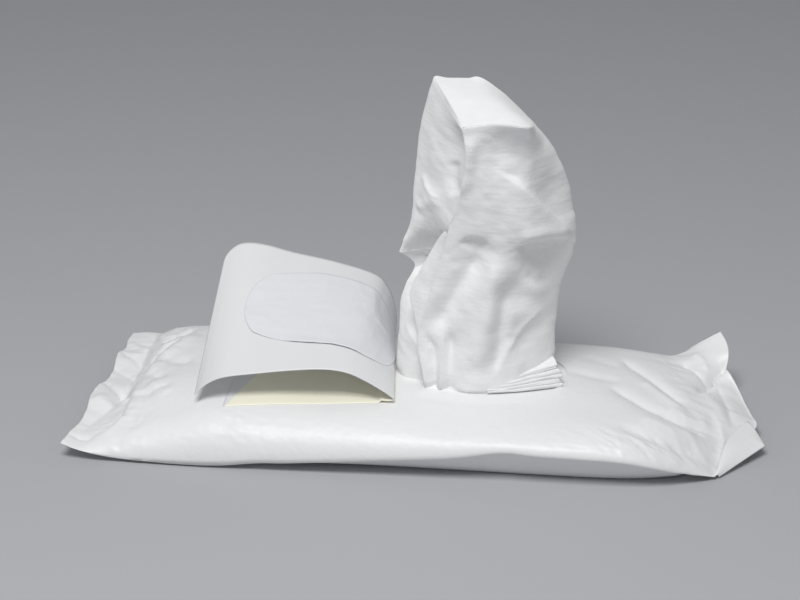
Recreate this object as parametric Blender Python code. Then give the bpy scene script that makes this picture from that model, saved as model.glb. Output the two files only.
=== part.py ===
"""Wet wipes pack, opened: a flow-wrapped film pouch with its resealable label peeled
back and one wipe pulled up out of the mouth.

Frame: +X along the pack's length, +Y away from the user, +Z up.  The origin is the
middle of the underside, on the surface that the pack lies on.  All sizes in metres.
"""

import bpy
import numpy as np

MM = 0.001

# Driving dimensions ---------------------------------------------------------------
PACK_LENGTH = 240 * MM        # seal edge to seal edge
PACK_WIDTH = 97 * MM          # side crease to side crease
PACK_HEIGHT = 19.5 * MM       # middle of the top film
CREASE_HEIGHT = 8.5 * MM      # side creases, where the film turns under
SEAL_HEIGHT = 6 * MM          # the end seals stand this far above the table
SEAL_WIDTH = 12 * MM          # each crimped end seal
EDGE = 1.0 * MM               # thickness of a seal and of a side crease
FLAT_HALF_LENGTH = 96 * MM    # the underside is flat as far as this
FLAT_SHARE = 0.82             # and over this share of its half width
WALL = 0.6 * MM               # the film, drawn thick enough to be a solid
GAP = 0.3 * MM                # clearance between pieces that touch

STACK_GAP = 0.5 * MM          # the stack inside its film
CAVITY_HALF = (104 * MM, 46 * MM)

MOUTH_CENTRE = (19.8 * MM, 0.8 * MM)
MOUTH_LENGTH = 61 * MM
MOUTH_WIDTH = 37 * MM

CUTTER_REACH = 4 * MM         # the mouth's cutter runs this far above and below the top

LABEL_THICK = 0.4 * MM
LABEL_FRONT = -29.5 * MM      # the label's long edges, where it is bonded down
LABEL_BACK = 34.5 * MM
LABEL_LEFT = -70 * MM         # its fixed end
FRONT_EDGE_LEAN = 5 * MM      # the free end's front corner comes this far forward
BACK_EDGE_LEAN = 9 * MM       # and its back corner this far

# The film flap as shares of the label's free part: along it, then across it.
FLAP_CENTRE = (0.475, 0.56)
FLAP_STRAIGHT = 0.13
FLAP_ROUND = (0.195, 0.29)
FLAP_THICK = 0.3 * MM

WIPE_THICK = 0.8 * MM
STRIP_COLUMNS = 5             # grid columns on each side of the pulled wipe's top fold

# The next wipe's folded edge: its front corners in plan, its depth and its two heights.
FOLD_START = (22.0, -16.4)
FOLD_END = (45.0, -9.8)
FOLD_DEPTH = 2.4 * MM
FOLD_LOW, FOLD_HIGH = 19.2 * MM, 22.6 * MM
FOLD_ROUNDING = 0.8 * MM

HALF_LENGTH = PACK_LENGTH / 2
HALF_WIDTH = PACK_WIDTH / 2
BODY_HALF = HALF_LENGTH - SEAL_WIDTH


# Helpers --------------------------------------------------------------------------
def clear_scene():
    for obj in list(bpy.data.objects):
        bpy.data.objects.remove(obj, do_unlink=True)


def material(name, rgb, roughness, metallic=0.0):
    mat = bpy.data.materials.new(name)
    mat.use_nodes = True
    shader = mat.node_tree.nodes["Principled BSDF"]
    shader.inputs["Base Color"].default_value = (*rgb, 1.0)
    shader.inputs["Roughness"].default_value = roughness
    shader.inputs["Metallic"].default_value = metallic
    return mat


def add_object(name, points, faces, mat):
    mesh = bpy.data.meshes.new(name)
    mesh.from_pydata([tuple(p) for p in points], [], faces)
    mesh.validate()
    obj = bpy.data.objects.new(name, mesh)
    bpy.context.scene.collection.objects.link(obj)
    if mat:
        mesh.materials.append(mat)
    return obj


def grid_faces(rows, cols, start=0, flip=False):
    """Quads of a rows x cols grid whose first point has index start."""
    faces = []
    for r in range(rows - 1):
        for c in range(cols - 1):
            a = start + r * cols + c
            quad = (a, a + cols, a + cols + 1, a + 1)
            faces.append(quad[::-1] if flip else quad)
    return faces


def rim(rows, cols):
    """Indices round the border of a grid, as one loop."""
    first = list(range(cols))
    right = [r * cols + cols - 1 for r in range(1, rows)]
    last = [(rows - 1) * cols + c for c in range(cols - 2, -1, -1)]
    left = [r * cols for r in range(rows - 2, 0, -1)]
    return first + right + last + left


def grid_solid(name, x, y, top, bottom, mat):
    """A closed solid between two heights, top and bottom, over the same x, y grid."""
    gx, gy = np.meshgrid(x, y, indexing="ij")
    upper = np.stack([gx, gy, top(gx, gy)], -1).reshape(-1, 3)
    lower = np.stack([gx, gy, bottom(gx, gy)], -1).reshape(-1, 3)
    rows, cols = gx.shape
    count = rows * cols
    faces = grid_faces(rows, cols) + grid_faces(rows, cols, count, flip=True)
    loop = rim(rows, cols)
    for a, b in zip(loop, loop[1:] + loop[:1]):
        faces.append((a, b, b + count, a + count))
    return add_object(name, np.vstack([upper, lower]), faces, mat)


def smooth_curve(points, steps):
    """Catmull-Rom curve through points, with this many steps between neighbours."""
    p = np.asarray(points, float)
    p = np.concatenate([2 * p[:1] - p[1:2], p, 2 * p[-1:] - p[-2:-1]])
    t = np.linspace(0, 1, steps, endpoint=False).reshape((-1,) + (1,) * (p.ndim - 1))
    out = []
    for a, b, c, d in zip(p[:-3], p[1:-2], p[2:-1], p[3:]):
        out.append(0.5 * (2 * b + (c - a) * t + (2 * a - 5 * b + 4 * c - d) * t**2
                          + (3 * b - a - 3 * c + d) * t**3))
    return np.concatenate(out + [p[-2:-1]])


def solidify(obj, thickness):
    mod = obj.modifiers.new("thickness", "SOLIDIFY")
    mod.thickness = thickness
    mod.offset = 0.0
    mod.use_even_offset = True


# Pouch and stack ------------------------------------------------------------------
def fullness(x):
    """1 over the filled body, falling to 0 where the end seal begins."""
    share = np.clip(np.abs(x) / BODY_HALF, 0, 1)
    return np.sqrt(np.clip(1 - share**12, 0, 1))


def edge_height(x):
    full = fullness(x)
    return CREASE_HEIGHT * full + SEAL_HEIGHT * (1 - full)


def top_film(x, y):
    """Outer height: a crowned top that rolls over to the side creases."""
    side = np.clip(np.abs(y) / HALF_WIDTH, 0, 1)
    base = edge_height(x) + EDGE / 2
    rise = (PACK_HEIGHT - base) * fullness(x)
    return base + rise * np.sqrt(1 - side**5)


def bottom_film(x, y):
    """Outer underside: flat on the table, turning up to the creases and seals."""
    side = np.clip((np.abs(y) / HALF_WIDTH - FLAT_SHARE) / (1 - FLAT_SHARE), 0, 1)
    end = np.clip((np.abs(x) - FLAT_HALF_LENGTH) / (BODY_HALF - FLAT_HALF_LENGTH), 0, 1)
    lift = 1 - (1 - side**1.5) * (0.5 + 0.5 * np.cos(np.pi * end))
    return (edge_height(x) - EDGE / 2) * lift


def stations(half, marks):
    """Stations from -half to half, with the marks inside it on both sides of zero."""
    ahead = np.array([mark for mark in marks if mark < half - EDGE] + [half])
    return np.concatenate([-ahead[:0:-1], ahead])


X_MARKS = [m * MM for m in (0, 20, 40, 60, 76, 88, 96, 100, 103, 105.5, 108, 114)]
Y_MARKS = [0, 14 * MM, 26 * MM, 35 * MM, FLAT_SHARE * HALF_WIDTH, 43 * MM, 45.5 * MM, 47.3 * MM]


def film_block(name, half_x, half_y, inset, mat=None):
    return grid_solid(
        name, stations(half_x, X_MARKS), stations(half_y, Y_MARKS),
        lambda x, y: top_film(x, y) - inset, lambda x, y: bottom_film(x, y) + inset, mat)


def stadium(centre, length, width, steps=12):
    """Outline of a slot with round ends, counter-clockwise."""
    radius = width / 2
    run = length / 2 - radius
    turn = np.linspace(-np.pi / 2, np.pi / 2, steps + 1)
    right = np.stack([centre[0] + run + radius * np.cos(turn),
                      centre[1] + radius * np.sin(turn)], -1)
    left = np.stack([centre[0] - run - radius * np.cos(turn),
                     centre[1] - radius * np.sin(turn)], -1)
    return np.concatenate([right, left])


def prism(name, outline, low, high):
    count = len(outline)
    points = [(*p, low) for p in outline] + [(*p, high) for p in outline]
    faces = [tuple(range(count))[::-1], tuple(range(count, 2 * count))]
    for a in range(count):
        b = (a + 1) % count
        faces.append((a, b, b + count, a + count))
    return add_object(name, points, faces, None)


def cut(obj, cutter):
    cutter.hide_render = True
    cutter.display_type = "WIRE"
    mod = obj.modifiers.new(cutter.name, "BOOLEAN")
    mod.operation = "DIFFERENCE"
    mod.solver = "EXACT"
    mod.object = cutter


def make_pouch():
    film = material("pouch_film", (0.80, 0.81, 0.80), 0.32)
    pouch = film_block("film_pouch", HALF_LENGTH, HALF_WIDTH, 0.0, film)
    cut(pouch, film_block("cavity_cutter", *CAVITY_HALF, WALL))
    outline = stadium(MOUTH_CENTRE, MOUTH_LENGTH, MOUTH_WIDTH)
    cut(pouch, prism("mouth_cutter", outline, PACK_HEIGHT - CUTTER_REACH, PACK_HEIGHT + CUTTER_REACH))


def make_stack():
    nonwoven = material("wipe_nonwoven", (0.84, 0.85, 0.84), 0.85)
    half_x, half_y = CAVITY_HALF
    film_block("wipe_stack", half_x - STACK_GAP, half_y - STACK_GAP, WALL + STACK_GAP, nonwoven)


# Label and the film stuck to it ---------------------------------------------------
# The free part's two long edges as (x, z), from the peel line to the free end.
FRONT_EDGE = [(-12, 20.2), (-8.6, 20.4), (-6.8, 21.2), (-7.8, 22.8), (-12.4, 25.2), (-18.1, 28.2),
              (-27, 30.9), (-43, 30.8), (-55, 29.3), (-65, 27.8), (-71, 25.6), (-74.6, 23.2),
              (-76.6, 20.8)]
BACK_EDGE = [(-20, 18.9), (-17, 19.2), (-15, 21.0), (-15, 25.5), (-16, 31.0), (-18.2, 36.6),
             (-22.5, 41.6), (-36, 46.4), (-52, 50.2), (-61, 52.8), (-67, 53.8), (-72, 53.4),
             (-76.4, 52.0)]


def free_edges():
    front = smooth_curve(FRONT_EDGE, 3) * MM
    back = smooth_curve(BACK_EDGE, 3) * MM
    return front, back


def label_grid(across):
    """Mid-surface of the label: the bonded run, the turn and the free run.

    across is an array from 0 (front edge) to 1 (back edge).
    """
    front, back = free_edges()
    lay = GAP + LABEL_THICK / 2
    share = across[None, :]
    y0 = LABEL_FRONT + (LABEL_BACK - LABEL_FRONT) * share
    hinge = front[0, 0] + (back[0, 0] - front[0, 0]) * share
    run = np.linspace(0, 1, 9)[:-1, None]
    bonded_x = LABEL_LEFT + (hinge - LABEL_LEFT) * run
    bonded_y = y0 + 0 * run
    bonded = np.stack([bonded_x, bonded_y, top_film(bonded_x, bonded_y) + lay], -1)
    along = np.linspace(0, 1, len(front))[:, None]
    free_x = front[:, :1] * (1 - share) + back[:, :1] * share
    free_z = front[:, 1:] * (1 - share) + back[:, 1:] * share
    free_y = y0 - (FRONT_EDGE_LEAN * (1 - share) + BACK_EDGE_LEAN * share) * along
    floor = top_film(free_x, free_y) + lay
    return bonded, np.stack([free_x, free_y, np.maximum(free_z, floor)], -1)


def grid_object(name, grid, mat, thickness):
    rows, cols = grid.shape[:2]
    obj = add_object(name, grid.reshape(-1, 3), grid_faces(rows, cols), mat)
    solidify(obj, thickness)
    return obj


def make_label():
    face = material("label_film", (0.82, 0.82, 0.78), 0.45)
    bonded, free = label_grid(np.linspace(0, 1, 9))
    grid_object("resealable_label", np.concatenate([bonded, free]), face, LABEL_THICK)


def sample(grid, u, v):
    """Bilinear reading of a grid of points at parameters u (rows) and v (columns)."""
    rows, cols = grid.shape[:2]
    r = np.clip(u, 0, 1) * (rows - 1)
    c = np.clip(v, 0, 1) * (cols - 1)
    r0 = np.minimum(r.astype(int), rows - 2)
    c0 = np.minimum(c.astype(int), cols - 2)
    fr = (r - r0)[..., None]
    fc = (c - c0)[..., None]
    near = grid[r0, c0] * (1 - fc) + grid[r0, c0 + 1] * fc
    far = grid[r0 + 1, c0] * (1 - fc) + grid[r0 + 1, c0 + 1] * fc
    return near * (1 - fr) + far * fr


def grid_normals(grid):
    """Unit normals, on the side that faces up where the label is folded back."""
    normal = np.cross(np.gradient(grid, axis=1), np.gradient(grid, axis=0))
    return normal / np.linalg.norm(normal, axis=-1, keepdims=True)


def make_film_flap():
    """The die-cut lid of pouch film, lying on the label's sticky side."""
    clear_film = material("flap_film", (0.82, 0.83, 0.82), 0.30)
    free = label_grid(np.linspace(0, 1, 17))[1]
    lift = LABEL_THICK / 2 + GAP + FLAP_THICK / 2
    above = free + grid_normals(free) * lift
    p, q = np.meshgrid(np.linspace(-1, 1, 17), np.linspace(-1, 1, 11), indexing="ij")
    round_p = p * np.sqrt(1 - q**2 / 2)
    round_q = q * np.sqrt(1 - p**2 / 2)
    u = FLAP_CENTRE[0] + FLAP_STRAIGHT * p + FLAP_ROUND[0] * round_p
    v = FLAP_CENTRE[1] + FLAP_ROUND[1] * round_q
    grid_object("film_flap", sample(above, u, v), clear_film, FLAP_THICK)


# Wipes ----------------------------------------------------------------------------
# Control sections of the pulled wipe, from the mouth to its top fold.  Each runs from
# the front panel's free edge, round the right side, to the back panel's free edge.
WIPE_SECTIONS = [
    [(4, -12.5, 19.2), (19, -12.2, 19.2), (33, -7.6, 19.2), (44, 1, 19.2), (36, 9, 19.2),
     (17, 13, 19.2), (-5, 5, 19.2)],
    [(0, -12.5, 38), (16, -13, 38), (32, -9, 38), (45, 2.5, 38), (35, 9.5, 38),
     (15, 11.5, 38), (-7, 6, 38)],
    [(3.5, -11.5, 61), (19, -12.5, 61), (35, -9.5, 61), (50.5, 2.5, 62), (37, 9.5, 61),
     (15, 10.5, 61), (-8, 7, 61)],
    [(9, -10.5, 79), (22, -12.5, 79), (37, -9.5, 79), (50, 2.5, 80), (37, 8.5, 79),
     (15, 9.5, 79), (-5.5, 8, 79)],
    [(13.5, -9, 96), (24, -8.5, 96), (35, -6.5, 97), (45.5, 2.5, 98), (34, 8.5, 99),
     (13, 9.5, 100), (-4, 9.5, 100)],
    [(12.3, -6, 112), (21, -6, 112), (36, -5, 112), (29, 2.5, 118.5), (19.5, 9, 124.8),
     (10, 10.5, 124.8), (1, 10.5, 124.3)],
]


def make_pulled_wipe(nonwoven):
    """A sheet folded into a hood: open to the left and below, closed over the top."""
    sections = np.array(WIPE_SECTIONS, float) * MM
    rows = smooth_curve(sections, 3)
    grid = smooth_curve(rows.transpose(1, 0, 2), 3).transpose(1, 0, 2)
    count, cols = grid.shape[:2]
    faces = grid_faces(count, cols)
    last = (count - 1) * cols
    for c in range(STRIP_COLUMNS):
        faces.append((last + c, last + cols - 1 - c, last + cols - 2 - c, last + c + 1))
    turn = range(cols - 1 - STRIP_COLUMNS, STRIP_COLUMNS - 1, -1)
    faces.append(tuple(last + c for c in turn))
    obj = add_object("pulled_wipe", grid.reshape(-1, 3), faces, nonwoven)
    solidify(obj, WIPE_THICK)


def make_next_wipe(nonwoven):
    """The next wipe's folded edge, drawn up against the front of the mouth."""
    start = np.array(FOLD_START) * MM
    end = np.array(FOLD_END) * MM
    run = (end - start) / np.linalg.norm(end - start)
    back = np.array([-run[1], run[0]]) * FOLD_DEPTH
    obj = prism("next_wipe", np.array([start, end, end + back, start + back]), FOLD_LOW, FOLD_HIGH)
    obj.data.materials.append(nonwoven)
    bevel = obj.modifiers.new("soft_folds", "BEVEL")
    bevel.width = FOLD_ROUNDING
    bevel.segments = 2


def main():
    clear_scene()
    make_pouch()
    make_stack()
    make_label()
    make_film_flap()
    nonwoven = material("pulled_nonwoven", (0.85, 0.86, 0.85), 0.85)
    make_pulled_wipe(nonwoven)
    make_next_wipe(nonwoven)


main()
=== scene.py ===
# %% [markdown]
# # An opened pack of wet wipes
#
# The pack is a flow-wrapped pouch of thin white film, filled by a folded stack of damp
# nonwoven cloth.  Its resealable label is peeled back and arches over to the left with
# its sticky side up, and one wipe stands pulled out of the mouth.
#
# Film and cloth have no hard parts, so nearly everything here is a surface worked out
# with numpy: a base form, then the creases and dents laid into it one by one.
# Shapes are given in millimetres and turned to metres when a mesh is made.

import bmesh
import bpy
import numpy as np
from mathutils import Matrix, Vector


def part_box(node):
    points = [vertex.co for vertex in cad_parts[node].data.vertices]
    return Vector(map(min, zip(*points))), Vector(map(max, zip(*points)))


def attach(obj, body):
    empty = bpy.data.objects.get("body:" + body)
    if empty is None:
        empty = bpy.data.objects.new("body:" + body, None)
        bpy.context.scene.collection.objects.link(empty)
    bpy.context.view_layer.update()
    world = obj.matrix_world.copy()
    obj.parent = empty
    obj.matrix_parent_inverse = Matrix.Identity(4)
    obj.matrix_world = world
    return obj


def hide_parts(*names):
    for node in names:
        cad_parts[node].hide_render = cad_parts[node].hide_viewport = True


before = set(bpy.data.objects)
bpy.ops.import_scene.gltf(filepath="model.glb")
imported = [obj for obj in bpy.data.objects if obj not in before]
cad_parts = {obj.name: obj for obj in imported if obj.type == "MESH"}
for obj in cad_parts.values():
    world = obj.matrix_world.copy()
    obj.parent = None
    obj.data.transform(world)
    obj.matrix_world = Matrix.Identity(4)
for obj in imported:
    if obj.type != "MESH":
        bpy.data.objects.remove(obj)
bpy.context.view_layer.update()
MM = 0.001
pouch_low, pouch_high = (np.array(corner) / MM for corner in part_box("film_pouch"))
print("pouch box, mm:", pouch_low.round(1), pouch_high.round(1))


# %% [markdown]
# ## Camera
#
# The pack is seen from a little to the right and from 23 degrees above, through a long
# lens, so that its parallel edges stay nearly parallel.  The camera is set first,
# because the shapes are judged through it.

# %% Camera
VIEW_TURN = np.radians(7.5)
VIEW_RISE = np.radians(23.0)
VIEW_DISTANCE = 800.0
LOOK_AT = np.array([-11.4, 15.8, 38.9])
VIEW_BACK = np.array([np.sin(VIEW_TURN) * np.cos(VIEW_RISE),
                      -np.cos(VIEW_TURN) * np.cos(VIEW_RISE),
                      np.sin(VIEW_RISE)])
EYE = LOOK_AT + VIEW_BACK * VIEW_DISTANCE


def add_camera():
    """A camera at EYE, turned to face LOOK_AT."""
    data = bpy.data.cameras.new("camera")
    data.lens = 100
    data.sensor_width = 36
    camera = bpy.data.objects.new("camera", data)
    camera.location = EYE * MM
    camera.rotation_euler = (np.pi / 2 - VIEW_RISE, 0, VIEW_TURN)
    bpy.context.scene.collection.objects.link(camera)
    bpy.context.scene.camera = camera


add_camera()


# %% [markdown]
# ## Tools for grids
#
# A sheet is a grid of points: rows run one way over the cloth or film and columns the
# other.  A few small tools do all the shaping: they make the mesh, draw a smooth curve
# through a few chosen points, and lay creases, dents and crumple into a surface.

# %% Grid tools
def grid_quads(rows, cols):
    """Corner indices of the quads of a rows x cols grid, as one array."""
    index = np.arange(rows * cols).reshape(rows, cols)
    quads = np.stack([index[:-1, :-1], index[1:, :-1], index[1:, 1:], index[:-1, 1:]], -1)
    return quads.reshape(-1, 4)


def add_piece(name, points, faces, uv=None):
    """A smooth-shaded mesh from points in mm, riding on the part's one body."""
    mesh = bpy.data.meshes.new(name)
    mesh.from_pydata((points.reshape(-1, 3) * MM).tolist(), [], faces.tolist())
    if uv is not None:
        layer = mesh.uv_layers.new(name="UVMap")
        loops = np.empty(len(mesh.loops), int)
        mesh.loops.foreach_get("vertex_index", loops)
        layer.data.foreach_set("uv", uv.reshape(-1, 2)[loops].ravel())
    mesh.polygons.foreach_set("use_smooth", np.ones(len(mesh.polygons), bool))
    piece = bpy.data.objects.new(name, mesh)
    bpy.context.scene.collection.objects.link(piece)
    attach(piece, "root")
    print(f"{name}: {len(mesh.vertices)} points, {len(mesh.polygons)} faces")
    return piece


def thicken(piece, thickness):
    """Gives a sheet its thickness in mm, half of it on each side."""
    wall = piece.modifiers.new("thickness", "SOLIDIFY")
    wall.thickness = thickness * MM
    wall.offset = 0.0


def smooth_curve(points, steps):
    """Catmull-Rom curve: each stretch is a cubic that leaves along its neighbours' chord."""
    p = np.asarray(points, float)
    p = np.concatenate([2 * p[:1] - p[1:2], p, 2 * p[-1:] - p[-2:-1]])
    t = np.linspace(0, 1, steps, endpoint=False).reshape((-1,) + (1,) * (p.ndim - 1))
    out = [0.5 * (2 * b + (c - a) * t + (2 * a - 5 * b + 4 * c - d) * t**2
                  + (3 * b - a - 3 * c + d) * t**3)
           for a, b, c, d in zip(p[:-3], p[1:-2], p[2:-1], p[3:])]
    return np.concatenate(out + [p[-2:-1]])


def ease(t):
    """0 below 0, 1 above 1, with a smooth S between."""
    t = np.clip(t, 0, 1)
    return t * t * (3 - 2 * t)


# A crease keeps a tenth of its depth at its two tips and reaches all of it a fifth of
# the way in.  A cliff rises over 1.6 mm.
TIP_DEPTH, TIP_RUN, CLIFF_RUN = 0.1, 0.2, 1.6


def crease(x, y, path, width, depth, kind="soft"):
    """Depth times a ridge across a polyline, fading out at both ends of it.

    Its section is a bell if soft, a tent if sharp, and a cliff if left or right: full
    height on that side of the path, falling away over its width, and nothing beyond.
    """
    path = np.asarray(path, float)
    best = np.full(x.shape, 1e9)
    share, side = np.zeros(x.shape), np.zeros(x.shape)
    lengths = np.linalg.norm(np.diff(path, axis=0), axis=1)
    before = np.concatenate([[0], np.cumsum(lengths)])
    for k, (a, b) in enumerate(zip(path[:-1], path[1:])):
        run = (b - a) / lengths[k]
        ahead = np.clip((x - a[0]) * run[0] + (y - a[1]) * run[1], 0, lengths[k])
        dx, dy = x - a[0] - ahead * run[0], y - a[1] - ahead * run[1]
        away = np.hypot(dx, dy)
        nearer = away < best
        best = np.where(nearer, away, best)
        share = np.where(nearer, (before[k] + ahead) / before[-1], share)
        side = np.where(nearer, run[0] * dy - run[1] * dx, side)
    fade = TIP_DEPTH + (1 - TIP_DEPTH) * ease(share / TIP_RUN) * ease((1 - share) / TIP_RUN)
    if kind == "soft":
        return depth * fade * np.exp(-(best / width) ** 2)
    if kind == "sharp":
        return depth * fade * np.exp(-best / width)
    sign = 1 if kind == "left" else -1
    return depth * fade * np.exp(-(best / width) ** 2) * ease(0.5 + sign * side / CLIFF_RUN)


def dent(x, y, centre, radii, turn, depth):
    """Depth times a bell over an ellipse turned by turn degrees."""
    c, s = np.cos(np.radians(turn)), np.sin(np.radians(turn))
    dx, dy = x - centre[0], y - centre[1]
    along = (dx * c + dy * s) / radii[0]
    across = (dy * c - dx * s) / radii[1]
    return depth * np.exp(-(along**2 + across**2))


LATTICE = 64


def value_noise(x, y, seed):
    """Smooth noise from -1 to 1: seeded values on a unit lattice, eased between."""
    lattice = np.random.default_rng(seed).uniform(-1, 1, (LATTICE, LATTICE))
    xi, yi = np.floor(x).astype(int), np.floor(y).astype(int)
    fx, fy = ease(x - xi), ease(y - yi)

    def pick(i, j):
        return lattice[(xi + i) % LATTICE, (yi + j) % LATTICE]

    near = pick(0, 0) * (1 - fx) + pick(1, 0) * fx
    far = pick(0, 1) * (1 - fx) + pick(1, 1) * fx
    return near * (1 - fy) + far * fy


def crumple(x, y, seed):
    """Sharp-edged noise, like film that has been squeezed: folded value noise, twice."""
    first = 1 - 2 * np.abs(value_noise(x, y, seed))
    second = 1 - 2 * np.abs(value_noise(1.9 * x + 5, 1.7 * y - 3, seed + 1))
    return first * 0.65 + second * 0.35


# %% [markdown]
# ## The pouch
#
# A flow wrap is one film folded round the stack and sealed across both ends, so it is
# two films that share one outline.  The outline is four curves: the front and the back
# side creases, and the two end seals.  Between them the top film rises in a crowned
# section, and the bottom film lies flat and turns up to the creases.
#
# The right end is the untidy one: its back corner stands up as a dog-ear, and its front
# corner is pulled in, with the seal folded over it.

# %% The pouch's outline
HALF = pouch_high[0]
TOP = pouch_high[2] - 0.1

# The front side crease, (x, y, height): near the table on the left, lifted off it by
# the bulging underside from the middle on, and pulled in at the right corner.
FRONT_CREASE = [
    (-122, -48.3, 6.6), (-116, -48.6, 4.3), (-110, -48.7, 2.9), (-104, -48.6, 1.9),
    (-97, -48.5, 1.3), (-80, -48.5, 0.8), (-66, -48.5, 1.2), (-52, -48.5, 3.0),
    (-40, -48.5, 3.8), (-10, -48.5, 6.8), (14, -48.5, 9.2), (31, -48.5, 12.4),
    (43, -48.5, 11.9), (59, -48.2, 11.5), (72, -47.3, 10.6), (82, -45.2, 8.2),
    (91, -41.4, 5.0), (99, -37.2, 2.5), (104, -34.8, 1.3), (112, -35.0, 1.6), (120, -37.0, 2.5)]
# The back one rises at its right end into the dog-ear.
BACK_CREASE = [
    (-120, 45.5, 6.6), (-104, 45.8, 7.6), (-90, 46, 8), (-60, 46, 8), (0, 45.5, 8), (60, 45, 8),
    (81, 44.4, 8.0), (88, 43.6, 9.4), (96.4, 42.6, 16.4), (104, 42, 21.6), (108, 42, 24)]
BACK_HEIGHT = 8.0
# The end seals as (across, x, height), across from -1 at the front to 1 at the back.
LEFT_SEAL = [
    (-1.0, -121.3, 6.4), (-0.82, -120.3, 7.0), (-0.62, -119.0, 6.4), (-0.45, -118.8, 7.2),
    (-0.25, -119.7, 8.2), (-0.05, -119.5, 7.6), (0.12, -118.3, 6.2), (0.28, -117.9, 6.6),
    (0.48, -118.9, 7.8), (0.60, -119.2, 7.4), (0.70, -118.2, 6.2), (0.85, -118.8, 6.8),
    (1.0, -118.7, 6.6)]
RIGHT_SEAL = [
    (-1.0, 103.2, 1.2), (-0.85, 105.6, 1.6), (-0.6, 109.6, 3.0), (-0.35, 113.8, 4.2),
    (-0.10, 117.6, 5.0), (0.1, 116.0, 5.4), (0.4, 112.6, 6.6), (0.52, 110.4, 8.4),
    (0.62, 107.2, 12.4), (0.68, 106.6, 13.6), (0.76, 107.3, 15.4), (0.88, 106.5, 17.8),
    (1.0, 104.0, 21.6)]


def along_curve(points, at):
    """Reads a smooth curve's other values where its first one equals at."""
    curve = smooth_curve(points, 8)
    return [np.interp(at, curve[:, 0], curve[:, k]) for k in range(1, curve.shape[1])]


def outline(u, v):
    """Plan position and crease height for u along and v across, both from -1 to 1.

    x starts even and is eased towards the wavy seals over the last third of the length.
    The height is carried from crease to crease, and eased to the seals' at both ends.
    """
    left_x, left_z = along_curve(LEFT_SEAL, v)
    right_x, right_z = along_curve(RIGHT_SEAL, v)
    even = HALF * u
    x = even + ease((even - 50) / 70) * (right_x - HALF) + ease((-even - 85) / 35) * (left_x + HALF)
    front_y, front_z = along_curve(FRONT_CREASE, x)
    back_y, back_z = along_curve(BACK_CREASE, x)
    w = (v + 1) / 2
    y = front_y * (1 - w) + back_y * w
    low = front_z * (1 - w) ** 1.3 + BACK_HEIGHT * (1 - (1 - w) ** 1.3)
    by_back = np.clip((w - 0.66) / 0.34, 0, 1)
    low = low + (back_z - BACK_HEIGHT) * by_back
    to_right = ease((x - right_x + 16) / 15)
    to_left = ease((left_x + 15 - x) / 10)
    for share, seal_z, seal in ((to_right, right_z, RIGHT_SEAL), (to_left, left_z, LEFT_SEAL)):
        seal_z = seal_z + (front_z - seal[0][2]) * (1 - w) ** 4 + (back_z - seal[-1][2]) * by_back
        low = low * (1 - share) + seal_z * share
    return x, y, low, to_left, to_right, right_x
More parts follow.
